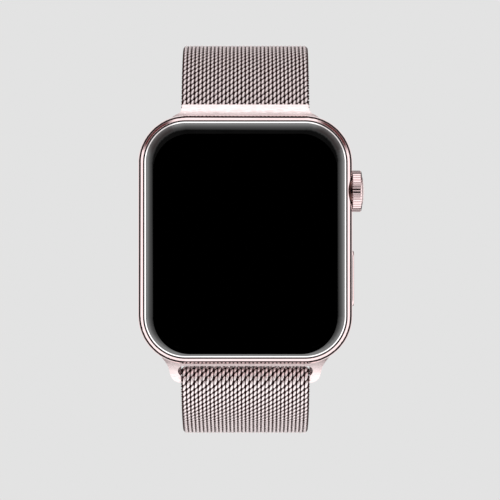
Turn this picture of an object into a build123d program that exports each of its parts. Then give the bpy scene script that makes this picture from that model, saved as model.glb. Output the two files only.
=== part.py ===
from build123d import *
import math
import os

# Smartwatch with a polished metal case and a woven metal loop strap.
# Millimetres. The origin is the centre of the cover glass's flat face. +X points to the crown
# (3 o'clock), +Y to 12 o'clock, and +Z out of the display, so the wrist is below the case.

# ---------------------------------------------------------------- driving dimensions
CASE_WIDTH = 38.0
CASE_LENGTH = 44.0
CASE_DEPTH = 9.2            # glass face to the flat of the case back
CASE_CORNER = 8.5
FRONT_ROUND = 3.0           # edge radius shared by the glass and the case rim
BACK_ROUND = 3.2
CAVITY_WIDTH = 34.4
CAVITY_LENGTH = 36.4
CAVITY_CORNER = 7.5
CAVITY_FLOOR = -7.6
MID_HEIGHT = -5.2           # height of the crown's and the side button's axes

GLASS_INSET = 1.04          # outline of the case to the seam
GLASS_THICKNESS = 1.4
SEAM = 0.18                 # width of the seam round the glass
GLASS_EDGE_ROUND = 0.12     # small rounding where the glass drops into the seam
RIM_EDGE_ROUND = 0.08       # and where the case does
PANEL_WIDTH = 33.2
PANEL_LENGTH = 39.6
LEDGE_DEPTH = 1.9           # ledge that carries the front gasket

BACK_RADIUS = 14.0          # round rear cover
BACK_LEDGE = -8.0           # ledge that carries the rear gasket
BACK_SEAT = 1.2             # width of that ledge
BACK_DOME_DEPTH = 10.7      # glass face to the top of the rear dome
WINDOW_RADIUS = 9.4
WINDOW_FLAT = 5.0
GASKET_HEIGHT = 0.3

PLATE_TOP = -2.35           # mid frame
PLATE_THICKNESS = 0.4
PILLAR_RADIUS = 2.0
SCREW_X = 13.6
SCREW_Y = 14.8
SCREW_SHANK = 0.5
SCREW_LENGTH = 2.6
HEAD_RADIUS = 0.95
HEAD_HEIGHT = 0.38
DECK = -3.0                 # top of what hangs under the mid frame
BATTERY_SIZE = (17.9, 22.8, 3.8)
BATTERY_CENTRE = (-2.35, -5.1)
BOARD_SIZE = (22.6, 9.8, 0.6)
BOARD_Y = 11.9
BOARD_TOP = -5.0
HAPTIC_SIZE = (4.1, 18.0, 4.1)
HAPTIC_CENTRE = (9.35, -4.0)
HAPTIC_TRAVEL = 0.4
SPEAKER_LENGTH = 13.1
SPEAKER_Y = 2.35
SPEAKER_SLOTS = [-0.9, 5.5]
SLOT_LENGTH = 5.2
SLOT_WIDTH = 1.1
MICROPHONE_Y = -8.3
MICROPHONE_HOLE = 0.45

CROWN_Y = 8.6
CROWN_RADIUS = 3.7
CROWN_TEETH = 46
CROWN_TRAVEL = 0.25
CROWN_RECESS = 0.85         # depth of the round recess behind the knob
RECESS_CLEARANCE = 0.55     # gap round the knob
CROWN_REACH = 2.15          # case side to the end of the cap
CAP_RADIUS = 2.6
CAP_THICKNESS = 0.45
CAP_DOME = 0.37             # how much the cap's end bulges
BUSH_RADIUS = 1.9
BUSH_FLANGE = 0.45          # height of the bush's cupped flange, which lines the floor of the recess
FLANGE_FLOOR = 0.14         # thickness of the cup's floor
HUB_RADIUS = 3.2            # of the knob's hub, which sinks into the cup when the crown is pressed
HUB_REACH = 0.3
SHAFT_RADIUS = 1.0
SHAFT_INNER_X = 15.0
SEAL_X = 17.1
SEAL_WIDTH = 0.5
CLIP_X = 15.25
CLIP_WIDTH = 0.3

BUTTON_Y = -6.9
BUTTON_LENGTH = 10.0
BUTTON_WIDTH = 2.6
BUTTON_PROUD = 0.3
BUTTON_TRAVEL = 0.2
BUTTON_POCKET_X = 17.75
STEM_RADIUS = 0.7
STEM_END_X = 16.2

RUNNING_FIT = 0.03          # radial clearance of a moving fit
SLIDE_FIT = 0.05
TINY = 0.02                 # clearance of parts that are glued or pressed together

LUG_Y = 20.4                # axis of the lug tongue
LUG_Z = -5.9
TONGUE_RADIUS = 1.6
NECK_HALF = 1.15            # half height of the neck that leaves the channel
LUG_ROOT_UPPER = 14.6       # half width of a lug where it meets the case
LUG_ROOT_LOWER = 15.0
EAR_INSET = 1.3             # how far inside the case's end the plate starts
LUG_PLATE_HALF = 11.25      # half width of the upper lug at the mesh
BAR_HALF = 11.7             # half length of the lower lug's bar
SLOT_HALF = 12.0            # half length of the lower lug's slot
BAR_RADIUS = 0.6
BAR_GAP = 0.43              # the mesh lies loosely round the bar
SLOT_END_DEPTH = -7.1       # floor of the slot's ends, beyond the mesh
LATCH_Y = 19.6
LATCH_TRAVEL = 0.5
PIN_RADIUS = 0.75
PIN_BOTTOM = -7.8
PIN_TOP = -6.4
RELEASE_RADIUS = 1.2
RELEASE_SHOULDER = -8.1     # top of the release button's wide bore
RELEASE_FACE = -9.03
SPRING_RADIUS = 0.5
SPRING_WIRE = 0.09
SPRING_TURNS = 4

STRAP_WIDTH = 22.5
STRAP_THICKNESS = 1.3
LOOP_CENTRE = (0.9, -25.7)  # centre of the strap's oval, as y and z
LOOP_HALF_LENGTH = 34.5     # along y
LOOP_HALF_HEIGHT = 25.0     # along z
STRAP_EXIT_Y = 23.6         # where the mesh leaves the upper lug
STRAP_ENTRY_Y = -23.9       # where the mesh starts to turn round the lower bar
LAYER_GAP = 0.25            # between the two layers of mesh
SETTLE_ANGLE = -192.0       # where the tail has come down onto the inner layer
CURL_ANGLE = -186.0         # place on the oval where the tail curls
FREE_TURN = 75.0            # degrees of the turn left free for the tail to lift

CLASP_HALF = 7.5
CLASP_WIDTH = 22.9
CLASP_BOTTOM = -54.0
CLASP_GAP = 0.15
CLASP_WALL = 1.2
CLASP_FLOOR = 0.8
COVER_THICKNESS = 0.4
MAGNET_SIZE = (5.6, 9.6)
MAGNET_SPACING = 6.4

BIG = 60.0                  # longer than the object in any direction


# ---------------------------------------------------------------- small helpers
def box(x0, x1, y0, y1, z0, z1):
    """A block between two corners."""
    middle = ((x0 + x1) / 2, (y0 + y1) / 2, (z0 + z1) / 2)
    return Pos(*middle) * Box(x1 - x0, y1 - y0, z1 - z0)


def upright(radius, x, y, z0, z1):
    """A cylinder along Z."""
    return Pos(x, y, (z0 + z1) / 2) * Cylinder(radius, z1 - z0)


def across(radius, x0, x1, y, z):
    """A cylinder along X."""
    return Pos((x0 + x1) / 2, y, z) * Rot(0, 90, 0) * Cylinder(radius, x1 - x0)


def pipe_across(outer, inner, x0, x1, y, z):
    """A tube along X."""
    return across(outer, x0, x1, y, z) - across(inner, x0 - 1, x1 + 1, y, z)


def prism(width, length, corner, z0, z1):
    """A rounded rectangle, standing from z0 to z1."""
    return extrude(Pos(0, 0, z0) * RectangleRounded(width, length, corner), z1 - z0)


def outline(inset, z0, z1):
    """The case's outline drawn in by inset, standing from z0 to z1."""
    return prism(CASE_WIDTH - 2 * inset, CASE_LENGTH - 2 * inset, CASE_CORNER - inset, z0, z1)


def stadium_across(length, width, x0, x1, y, z):
    """A slot shape, long along Y, standing along X."""
    shape = Plane(origin=(x0, y, z), x_dir=(0, 1, 0), z_dir=(1, 0, 0)) * SlotOverall(length, width)
    return extrude(shape, x1 - x0)


def envelope():
    """The smooth outside that the case and the glass share."""
    block = outline(0, -CASE_DEPTH, 0)
    block = fillet(block.faces().sort_by(Axis.Z)[-1].edges(), FRONT_ROUND)
    return fillet(block.faces().sort_by(Axis.Z)[0].edges(), BACK_ROUND)


# ---------------------------------------------------------------- case, glass and back
SCREW_SPOTS = [(x, y) for x in (-SCREW_X, SCREW_X) for y in (-SCREW_Y, SCREW_Y)]
PILLAR_TOP = PLATE_TOP - PLATE_THICKNESS - 0.05
SIDE_X = CASE_WIDTH / 2
WALL_X = CAVITY_WIDTH / 2
RECESS_FLOOR = SIDE_X - CROWN_RECESS


def front_height(inset):
    """Height of the rounded front at an inset from the outline."""
    return math.sqrt(FRONT_ROUND ** 2 - (FRONT_ROUND - inset) ** 2) - FRONT_ROUND


def edges_at_seam(shape, inset):
    """The edges all round where a wall at this inset meets the rounded front."""
    height = front_height(inset)
    return shape.edges().filter_by_position(Axis.Z, height - 0.01, height + 0.01)


def case_body(shell):
    """Case with its cavity, openings, screw pillars and the channels for the lugs."""
    body = shell - outline(GLASS_INSET, -LEDGE_DEPTH, 1)
    body = fillet(edges_at_seam(body, GLASS_INSET), RIM_EDGE_ROUND)
    body -= prism(CAVITY_WIDTH, CAVITY_LENGTH, CAVITY_CORNER, CAVITY_FLOOR, 1)
    cavity = prism(CAVITY_WIDTH, CAVITY_LENGTH, CAVITY_CORNER, CAVITY_FLOOR, PILLAR_TOP)
    for x, y in SCREW_SPOTS:
        body += upright(PILLAR_RADIUS, x, y, CAVITY_FLOOR - 0.5, PILLAR_TOP) & cavity
        body -= upright(SCREW_SHANK, x, y, PILLAR_TOP - SCREW_LENGTH, 0)
    body -= upright(BACK_RADIUS + TINY, 0, 0, -BIG, BACK_LEDGE)
    body -= upright(BACK_RADIUS - BACK_SEAT, 0, 0, -BIG, 0)
    body -= crown_opening()
    body -= side_button_opening()
    for side in (1, -1):
        body -= lug_channel(side)
        body -= upright(RELEASE_RADIUS + RUNNING_FIT, 0, side * LATCH_Y, -BIG, RELEASE_SHOULDER)
        body -= upright(PIN_RADIUS + RUNNING_FIT, 0, side * LATCH_Y, -BIG, LUG_Z)
    for y in SPEAKER_SLOTS:
        body -= stadium_across(SLOT_LENGTH, SLOT_WIDTH, -BIG, 1 - WALL_X, y, LUG_Z)
    body -= across(MICROPHONE_HOLE, -BIG, 1 - WALL_X, MICROPHONE_Y, LUG_Z)
    return body


def front_glass(shell):
    """Cover glass that fills the rim, its curved edge carrying on the case's."""
    inset = GLASS_INSET + SEAM
    glass = shell & outline(inset, -GLASS_THICKNESS, 1)
    return fillet(edges_at_seam(glass, inset), GLASS_EDGE_ROUND)


def display_panel():
    top = -GLASS_THICKNESS - TINY
    return prism(PANEL_WIDTH, PANEL_LENGTH, CASE_CORNER - 2.4, -LEDGE_DEPTH + 0.05, top)


def front_gasket():
    """Seal under the glass's edge, with a thin lip that fills the seam nearly to the surface."""
    top = -GLASS_THICKNESS - 0.03
    bottom = -LEDGE_DEPTH + 0.03
    hole = prism(PANEL_WIDTH + 0.6, PANEL_LENGTH + 0.5, CASE_CORNER - 2.2, bottom - 1, top + 1)
    lip_top = front_height(GLASS_INSET) - 0.04
    lip = outline(GLASS_INSET + TINY, bottom, lip_top) - outline(GLASS_INSET + SEAM - TINY, -BIG, 1)
    return outline(GLASS_INSET + TINY, bottom, top) - hole + lip


def mid_frame():
    """Plate that the display lies on, with a window for the connectors in its middle."""
    margin = 0.25
    plate = prism(CAVITY_WIDTH - 2 * margin, CAVITY_LENGTH - 2 * margin, CAVITY_CORNER - margin,
                  PLATE_TOP - PLATE_THICKNESS, PLATE_TOP)
    plate -= prism(15, 17, 2, -BIG, 0)
    for x, y in SCREW_SPOTS:
        plate -= upright(SCREW_SHANK + 0.1, x, y, -BIG, 0)
    return plate


def frame_screws():
    """Four small screws with cross recesses."""
    seat = PLATE_TOP + TINY
    head_top = seat + HEAD_HEIGHT
    screws = []
    for x, y in SCREW_SPOTS:
        screw = upright(HEAD_RADIUS, x, y, seat, head_top)
        screw += upright(SCREW_SHANK - TINY, x, y, PILLAR_TOP - SCREW_LENGTH + 0.2, seat)
        for turn in (0, 90):
            screw -= Pos(x, y, head_top) * Rot(0, 0, turn) * Box(1.2, 0.25, 0.3)
        screws.append(screw)
    return screws


def dome(radius):
    """Height of the rear dome: flat in the middle, curving up to the case at its edge."""
    part = max(0.0, (radius - WINDOW_FLAT) / (BACK_RADIUS - WINDOW_FLAT))
    rise = BACK_DOME_DEPTH - CASE_DEPTH - 0.1
    return -BACK_DOME_DEPTH + rise * part ** 2


def dome_profile(r0, r1, top):
    """Half section between two radii, from top down to the dome."""
    start = max(r0, WINDOW_FLAT)
    steps = [start + (r1 - start) * i / 6 for i in range(7)]
    edges = [Spline(*[(r, 0, dome(r)) for r in steps])]
    edges.append(Line((r1, 0, dome(r1)), (r1, 0, top)))
    edges.append(Line((r1, 0, top), (r0, 0, top)))
    edges.append(Line((r0, 0, top), (r0, 0, dome(r0))))
    if r0 < start:
        edges.append(Line((r0, 0, dome(r0)), (start, 0, dome(start))))
    return make_face(edges)


def rear_cover():
    top = BACK_LEDGE - GASKET_HEIGHT - TINY
    return revolve(dome_profile(WINDOW_RADIUS + SLIDE_FIT, BACK_RADIUS - TINY, top), Axis.Z)


def sensor_window():
    return revolve(dome_profile(0, WINDOW_RADIUS, BACK_LEDGE - 0.9), Axis.Z)


def rear_gasket():
    ring = upright(BACK_RADIUS - 0.1, 0, 0, BACK_LEDGE - GASKET_HEIGHT, BACK_LEDGE - TINY)
    return ring - upright(BACK_RADIUS - BACK_SEAT + 0.1, 0, 0, -BIG, 0)


# ---------------------------------------------------------------- parts inside the case
def sensor_board():
    board = upright(WINDOW_RADIUS - 0.4, 0, 0, BACK_LEDGE - 0.4, BACK_LEDGE)
    for turn in range(4):
        board -= Rot(0, 0, 45 + 90 * turn) * upright(0.5, WINDOW_RADIUS - 1.4, 0, -BIG, 0)
    return board


def sensor_diodes():
    """One large diode in the middle and eight round it."""
    height = BACK_LEDGE - 0.62
    diodes = [Pos(0, 0, height) * Box(1.8, 1.8, 0.4)]
    for turn in range(8):
        diodes.append(Rot(0, 0, 45 * turn) * Pos(5.2, 0, height) * Box(1.6, 2.2, 0.4))
    return diodes


def charging_coil():
    top = BACK_LEDGE + 0.7
    coil = upright(BACK_RADIUS - BACK_SEAT - 0.4, 0, 0, BACK_LEDGE + 0.1, top)
    return coil - upright(WINDOW_RADIUS + 0.2, 0, 0, -BIG, 0)


def alignment_magnet():
    return upright(4.2, 0, 0, BACK_LEDGE + 0.1, BACK_LEDGE + 1.0)


def hung(size, x, y, top):
    """A block of a given size that hangs down from a height."""
    width, length, height = size
    return box(x - width / 2, x + width / 2, y - length / 2, y + length / 2, top - height, top)


def battery():
    cell = hung(BATTERY_SIZE, *BATTERY_CENTRE, DECK)
    return fillet(cell.edges().filter_by(Axis.Z), 1.0)


def logic_board():
    board = hung(BOARD_SIZE, 0, BOARD_Y, BOARD_TOP)
    return fillet(board.edges().filter_by(Axis.Z), 0.8)


CAN_SIZE = (17.6, 8.2, 1.68)
CAN_X = -1.8
CAN_WALL = 0.2


def shield_can():
    """A folded sheet lid over the processor, open below."""
    width, length, height = CAN_SIZE
    top = BOARD_TOP + TINY + height
    can = hung(CAN_SIZE, CAN_X, BOARD_Y, top)
    can = fillet(can.edges().filter_by(Axis.Z), 0.6)
    return can - hung((width - 2 * CAN_WALL, length - 2 * CAN_WALL, height), CAN_X, BOARD_Y, top - CAN_WALL)


def processor():
    size = (11.5, 6.4, 1.16)
    return hung(size, CAN_X, BOARD_Y, BOARD_TOP + 0.04 + size[2])


ROD_RADIUS = 0.3
ROD_HEIGHTS = (-4.0, -5.9)
SHELL_WALL = 0.3


def along_y(radius, x, y, z, length):
    """A cylinder along Y."""
    return Pos(x, y, z) * Rot(90, 0, 0) * Cylinder(radius, length)


def haptic_housing():
    """Closed tin with two guide rods along it."""
    width, length, height = HAPTIC_SIZE
    x, y = HAPTIC_CENTRE
    inside = (width - 2 * SHELL_WALL, length - 2 * SHELL_WALL, height - 2 * SHELL_WALL)
    shell = hung(HAPTIC_SIZE, x, y, DECK) - hung(inside, x, y, DECK - SHELL_WALL)
    for z in ROD_HEIGHTS:
        shell += along_y(ROD_RADIUS, x, y, z, length - SHELL_WALL)
    return shell


def haptic_mass():
    """Weight that slides along the rods."""
    width, length, height = HAPTIC_SIZE
    x, y = HAPTIC_CENTRE
    end_room = SHELL_WALL + HAPTIC_TRAVEL + 0.1
    weight = hung((width - 1.0, length - 2 * end_room, height - 1.0), x, y, DECK - 0.5)
    for z in ROD_HEIGHTS:
        weight -= along_y(ROD_RADIUS + SLIDE_FIT, x, y, z, length)
    return weight


def speaker_module():
    """Cabinet against the left wall, open to the case's two slots."""
    width = 4.6
    cabinet = hung((width, SPEAKER_LENGTH, 3.7), 0.1 - WALL_X + width / 2, SPEAKER_Y, DECK - 0.2)
    for y in SPEAKER_SLOTS:
        cabinet -= stadium_across(SLOT_LENGTH - 0.2, SLOT_WIDTH - 0.1, -BIG, 0.8 - WALL_X, y, LUG_Z)
    return cabinet


def microphone():
    return hung((1.2, 2.6, 1.7), 0.7 - WALL_X, MICROPHONE_Y, BOARD_TOP)


# ---------------------------------------------------------------- crown
KNOB_INNER_X = SIDE_X - 0.1
CAP_END_X = SIDE_X + CROWN_REACH
KNOB_OUTER_X = CAP_END_X - CAP_THICKNESS - 0.01
SHAFT_END_X = KNOB_OUTER_X - 0.6
BUSH_INNER_X = WALL_X - 0.85
PLATE_INNER_X = SHAFT_INNER_X - 0.32    # inner face of the thrust plate


def on_crown_axis(radius, x0, x1):
    return across(radius, x0, x1, CROWN_Y, MID_HEIGHT)


def ring_on_crown_axis(outer, inner, x0, x1):
    return pipe_across(outer, inner, x0, x1, CROWN_Y, MID_HEIGHT)


def crown_opening():
    """Bore for the bush and the round recess that the knob sinks into."""
    recess = on_crown_axis(CROWN_RADIUS + RECESS_CLEARANCE, RECESS_FLOOR, BIG)
    return on_crown_axis(BUSH_RADIUS, WALL_X - 1, BIG) + recess


def crown_knob():
    """Knurled knob: a round body with one groove between each two teeth."""
    knob = on_crown_axis(CROWN_RADIUS, KNOB_INNER_X, KNOB_OUTER_X)
    rims = knob.edges().filter_by(GeomType.CIRCLE).sort_by(Axis.X)
    knob = fillet(rims[-1], 0.4)
    knob = chamfer(knob.edges().filter_by(GeomType.CIRCLE).sort_by(Axis.X)[0], 0.18)
    groove = across(0.13, KNOB_INNER_X - 1, KNOB_OUTER_X + 1, 0, CROWN_RADIUS + 0.03)
    centre = Pos(0, CROWN_Y, MID_HEIGHT)
    knob -= [centre * Rot(360 * i / CROWN_TEETH, 0, 0) * groove for i in range(CROWN_TEETH)]
    knob += on_crown_axis(HUB_RADIUS, KNOB_INNER_X - HUB_REACH, KNOB_INNER_X)
    return knob - on_crown_axis(SHAFT_RADIUS, 0, SHAFT_END_X)


def crown_cap():
    """Low disc with a shallow domed end."""
    dome_radius = (CAP_RADIUS ** 2 + CAP_DOME ** 2) / (2 * CAP_DOME)
    disc = on_crown_axis(CAP_RADIUS, CAP_END_X - CAP_THICKNESS, CAP_END_X)
    return disc & Pos(CAP_END_X - dome_radius, CROWN_Y, MID_HEIGHT) * Sphere(dome_radius)


def crown_shaft():
    """Shaft with a groove near its inner end for the clip."""
    shaft = on_crown_axis(SHAFT_RADIUS, SHAFT_INNER_X, SHAFT_END_X)
    return shaft - ring_on_crown_axis(2, SHAFT_RADIUS - 0.25, CLIP_X, CLIP_X + CLIP_WIDTH)


def crown_clip():
    """Open ring in the shaft's groove, so that the crown can't be pulled out."""
    margin = 0.03
    clip = ring_on_crown_axis(1.5, SHAFT_RADIUS - 0.24, CLIP_X + margin, CLIP_X + CLIP_WIDTH - margin)
    return clip - box(0, BIG, CROWN_Y - 0.4, CROWN_Y + 0.4, MID_HEIGHT, 0)


def crown_bush():
    """Bearing pressed into the case, with a broad cupped flange that fills the recess behind the knob."""
    bore = SHAFT_RADIUS + RUNNING_FIT
    bush = ring_on_crown_axis(BUSH_RADIUS, bore, BUSH_INNER_X, RECESS_FLOOR)
    bush += ring_on_crown_axis(CROWN_RADIUS, bore, RECESS_FLOOR, RECESS_FLOOR + BUSH_FLANGE)
    bush -= on_crown_axis(HUB_RADIUS + 0.1, RECESS_FLOOR + FLANGE_FLOOR, SIDE_X)
    return bush - ring_on_crown_axis(SHAFT_RADIUS + 0.42, SHAFT_RADIUS, SEAL_X, SEAL_X + SEAL_WIDTH)


def crown_seal():
    return ring_on_crown_axis(SHAFT_RADIUS + 0.4, SHAFT_RADIUS + RUNNING_FIT, SEAL_X + TINY,
                              SEAL_X + SEAL_WIDTH - TINY)


def beside_crown(x0, x1, half_length, half_height):
    """A block centred on the crown's axis."""
    return box(x0, x1, CROWN_Y - half_length, CROWN_Y + half_length,
               MID_HEIGHT - half_height, MID_HEIGHT + half_height)


def crown_thrust_plate():
    """Plate that moves in with the shaft and presses the switch, but doesn't turn."""
    return beside_crown(PLATE_INNER_X, SHAFT_INNER_X - TINY, 1.4, 1.2)


def crown_switch():
    face = PLATE_INNER_X - 0.58
    body = beside_crown(face - 0.9, face, 1.6, 1.4)
    return body + on_crown_axis(0.7, face, PLATE_INNER_X - CROWN_TRAVEL - 0.03)


def crown_encoder():
    """Optical reader under the shaft."""
    top = MID_HEIGHT - 1.6
    return box(SHAFT_INNER_X + 0.1, BUSH_INNER_X - 0.05, CROWN_Y - 1.2, CROWN_Y + 1.2, top - 0.75, top)


# ---------------------------------------------------------------- side button
BUTTON_INNER_X = BUTTON_POCKET_X + BUTTON_TRAVEL + 0.05


def on_button_axis(radius, x0, x1):
    return across(radius, x0, x1, BUTTON_Y, MID_HEIGHT)


def side_button_opening():
    pocket = stadium_across(BUTTON_LENGTH + 2 * SLIDE_FIT, BUTTON_WIDTH + 2 * SLIDE_FIT, BUTTON_POCKET_X,
                            BIG, BUTTON_Y, MID_HEIGHT)
    return pocket + on_button_axis(STEM_RADIUS + RUNNING_FIT, WALL_X - 1, BIG)


def side_button():
    outer_x = SIDE_X + BUTTON_PROUD
    bar = stadium_across(BUTTON_LENGTH, BUTTON_WIDTH, BUTTON_INNER_X, outer_x, BUTTON_Y, MID_HEIGHT)
    bar = fillet(bar.faces().sort_by(Axis.X)[-1].edges(), 0.25)
    return bar + on_button_axis(STEM_RADIUS, STEM_END_X, BUTTON_INNER_X)


def side_button_seal():
    return pipe_across(1.2, STEM_RADIUS + RUNNING_FIT, WALL_X - 0.35, WALL_X - TINY, BUTTON_Y, MID_HEIGHT)


SWITCH_FACE_X = STEM_END_X - 0.7


def side_button_switch():
    body = box(SWITCH_FACE_X - 0.9, SWITCH_FACE_X, BUTTON_Y - 1.6, BUTTON_Y + 1.6,
               MID_HEIGHT - 1.3, MID_HEIGHT + 1.3)
    return body + on_button_axis(0.6, SWITCH_FACE_X, STEM_END_X - BUTTON_TRAVEL - 0.03)


def side_button_bracket():
    """Bent strip that holds the switch against the case wall."""
    back = SWITCH_FACE_X - 0.95
    half_length = 4.5
    sheet = 0.45
    outside = box(back - sheet, WALL_X - 0.05, BUTTON_Y - half_length, BUTTON_Y + half_length,
                  MID_HEIGHT - 1.8, MID_HEIGHT + 1.8)
    inside = box(back, BIG, BUTTON_Y - half_length + sheet, BUTTON_Y + half_length - sheet, -BIG, BIG)
    return outside - inside


# ---------------------------------------------------------------- lugs and their latches
SPRING_TOP = LUG_Z + TONGUE_RADIUS - 0.62


def lug_channel(side):
    """Open channel across the case, a little larger than the tongue and its neck."""
    tongue = across(TONGUE_RADIUS + SLIDE_FIT, -BIG, BIG, side * LUG_Y, LUG_Z)
    y0, y1 = sorted((side * LUG_Y, side * BIG))
    neck = box(-BIG, BIG, y0, y1, LUG_Z - NECK_HALF - SLIDE_FIT, LUG_Z + NECK_HALF + SLIDE_FIT)
    return tongue + neck


def lug_tongue(shell, side):
    """The part of a lug inside the case, its ends cut flush with the case."""
    tongue = across(TONGUE_RADIUS, -BIG, BIG, side * LUG_Y, LUG_Z)
    y0, y1 = sorted((side * LUG_Y, side * (CASE_LENGTH / 2 + 1)))
    tongue += box(-BIG, BIG, y0, y1, LUG_Z - NECK_HALF, LUG_Z + NECK_HALF)
    tongue = tongue & shell
    return tongue - upright(PIN_RADIUS + RUNNING_FIT, 0, side * LATCH_Y, -BIG, SPRING_TOP + TINY)


def lug_from_plan(shell, side, ear_line, root_half, tip_half, y_tip):
    """A lug: tongue in the case, and a plate with the given left edge, cut clear of the case."""
    ear_y = side * (CASE_LENGTH / 2 - EAR_INSET)
    edges = [ear_line, mirror(ear_line, Plane.YZ)]
    edges.append(Line((-tip_half, y_tip), (tip_half, y_tip)))
    edges.append(Line((-root_half, ear_y), (root_half, ear_y)))
    plate = extrude(Pos(0, 0, LUG_Z - 6) * make_face(edges), 10) & lug_side_profile(side)
    neck = plate & box(-BIG, BIG, -BIG, BIG, LUG_Z - NECK_HALF, LUG_Z + NECK_HALF)
    return lug_tongue(shell, side) + neck + (plate - outline(-0.06, -BIG, BIG))


def lug_upper(shell):
    """Solid lug that the mesh is brazed to."""
    y_case = CASE_LENGTH / 2
    y_tip = STRAP_EXIT_Y + 0.5
    ear_line = Spline((-LUG_ROOT_UPPER, y_case - EAR_INSET), (-LUG_PLATE_HALF - 1.2, y_case + 0.15),
                      (-LUG_PLATE_HALF - 0.5, y_case + 0.55), (-LUG_PLATE_HALF, y_tip),
                      tangents=[(1, 0.35), (0, 1)])
    lug = lug_from_plan(shell, 1, ear_line, LUG_ROOT_UPPER, LUG_PLATE_HALF, y_tip)
    return lug - ribbon(EXIT_ANGLE, EXIT_ANGLE - 8, lambda a: 0.0, 4, 6.0, STRAP_WIDTH + 6)


def lug_side_profile(side):
    """Side view of a lug's plate, standing across the whole width: it bends down to follow the strap."""
    y0 = side * (LUG_Y + 0.3)
    y_case = side * (CASE_LENGTH / 2)
    y_tip = STRAP_EXIT_Y + 0.5 if side > 0 else BAR_CENTRE[0] - BAR_RADIUS
    z_tip = strap_point(EXIT_ANGLE)[1] - 0.35 if side > 0 else BAR_CENTRE[1]
    half_tip = 1.1 if side > 0 else BAR_RADIUS + 0.05
    top = Spline((0, y0, LUG_Z + NECK_HALF), (0, y_case, LUG_Z + NECK_HALF - 0.1),
                 (0, y_tip, z_tip + half_tip))
    bottom = Spline((0, y0, LUG_Z - NECK_HALF), (0, y_case, LUG_Z - NECK_HALF - 0.1),
                    (0, y_tip, z_tip - half_tip))
    tip = Line((0, y_tip, z_tip + half_tip), (0, y_tip, z_tip - half_tip))
    root = Line((0, y0, LUG_Z + NECK_HALF), (0, y0, LUG_Z - NECK_HALF))
    return extrude(make_face([top, tip, bottom, root]), 20, both=True)


def lug_lower(shell):
    """Slotted lug: two ears, a slot for the mesh, and a round bar that the mesh is folded over."""
    y_case = -CASE_LENGTH / 2
    y_bar, z_bar = BAR_CENTRE
    y_tip = y_bar - BAR_RADIUS
    ear_line = Spline((-LUG_ROOT_LOWER, y_case + EAR_INSET), (-BAR_HALF - 2.1, y_case - 0.45),
                      (-BAR_HALF - 1.2, y_tip + 0.6), (-BAR_HALF, y_tip), tangents=[(0.6, -1), (1, -0.15)])
    lug = lug_from_plan(shell, -1, ear_line, LUG_ROOT_LOWER, BAR_HALF, y_tip)
    relief_half = STRAP_WIDTH / 2 + 0.2
    relief_radius = TURN_RADIUS + STRAP_THICKNESS / 2 + 0.08
    lug -= pipe_across(relief_radius, BAR_RADIUS, -relief_half, relief_half, y_bar, z_bar)
    slot_y = y_bar + (BAR_RADIUS + relief_radius) / 2
    slot = SlotOverall(2 * SLOT_HALF, relief_radius - BAR_RADIUS)
    return lug - extrude(Pos(0, slot_y, SLOT_END_DEPTH) * slot, 12)


def release_button(side):
    """Button in the case back, with a stem that lifts the latch pin."""
    y = side * LATCH_Y
    step = RELEASE_SHOULDER - LATCH_TRAVEL - TINY
    button = upright(RELEASE_RADIUS, 0, y, RELEASE_FACE, step)
    return button + upright(STEM_RADIUS, 0, y, step, PIN_BOTTOM - TINY)


def latch_pin(side):
    pin = upright(PIN_RADIUS, 0, side * LATCH_Y, PIN_BOTTOM, PIN_TOP)
    return chamfer(pin.faces().sort_by(Axis.Z)[0].edges(), 0.15)


def latch_spring(side):
    base = PIN_TOP + TINY
    height = SPRING_TOP - base - 2 * SPRING_WIRE
    path = Helix(pitch=height / SPRING_TURNS, height=height, radius=SPRING_RADIUS)
    section = Plane(origin=path @ 0, z_dir=path % 0) * Circle(SPRING_WIRE)
    return Pos(0, side * LATCH_Y, base + SPRING_WIRE) * sweep(section, path=path)


# ---------------------------------------------------------------- strap
def strap_point(angle, offset=0.0):
    """Point (y, z) at an angle on the strap's oval, moved out along its normal."""
    turn = math.radians(angle)
    y = LOOP_HALF_LENGTH * math.cos(turn)
    z = LOOP_HALF_HEIGHT * math.sin(turn)
    normal_y = math.cos(turn) / LOOP_HALF_LENGTH
    normal_z = math.sin(turn) / LOOP_HALF_HEIGHT
    scale = offset / math.hypot(normal_y, normal_z)
    return (LOOP_CENTRE[0] + y + normal_y * scale, LOOP_CENTRE[1] + z + normal_z * scale)


def angle_at(y):
    """Angle of the oval's upper half at a given y."""
    return math.degrees(math.acos((y - LOOP_CENTRE[0]) / LOOP_HALF_LENGTH))


EXIT_ANGLE = angle_at(STRAP_EXIT_Y)
ENTRY_ANGLE = angle_at(STRAP_ENTRY_Y) - 360
TURN_RADIUS = BAR_RADIUS + BAR_GAP + STRAP_THICKNESS / 2
BAR_CENTRE = strap_point(ENTRY_ANGLE, TURN_RADIUS)
TAIL_OFFSET = STRAP_THICKNESS + LAYER_GAP


def tail_offset(angle):
    """Distance from the inner layer to the tail: wide at the bar, close further round."""
    part = max(0.0, (SETTLE_ANGLE - angle) / (SETTLE_ANGLE - ENTRY_ANGLE))
    return TAIL_OFFSET + (2 * TURN_RADIUS - TAIL_OFFSET) * (0.5 - 0.5 * math.cos(math.pi * part))


def ribbon(start, end, offset, steps=14, thickness=STRAP_THICKNESS, width=STRAP_WIDTH):
    """A band of even thickness along the oval from one angle to another."""
    angles = [start + (end - start) * i / steps for i in range(steps + 1)]
    inner = [(0, *strap_point(a, offset(a) - thickness / 2)) for a in angles]
    outer = [(0, *strap_point(a, offset(a) + thickness / 2)) for a in angles]
    edges = [Spline(*inner), Line(inner[-1], outer[-1]), Spline(*outer), Line(outer[0], inner[0])]
    return extrude(make_face(edges), width / 2, both=True)


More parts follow.
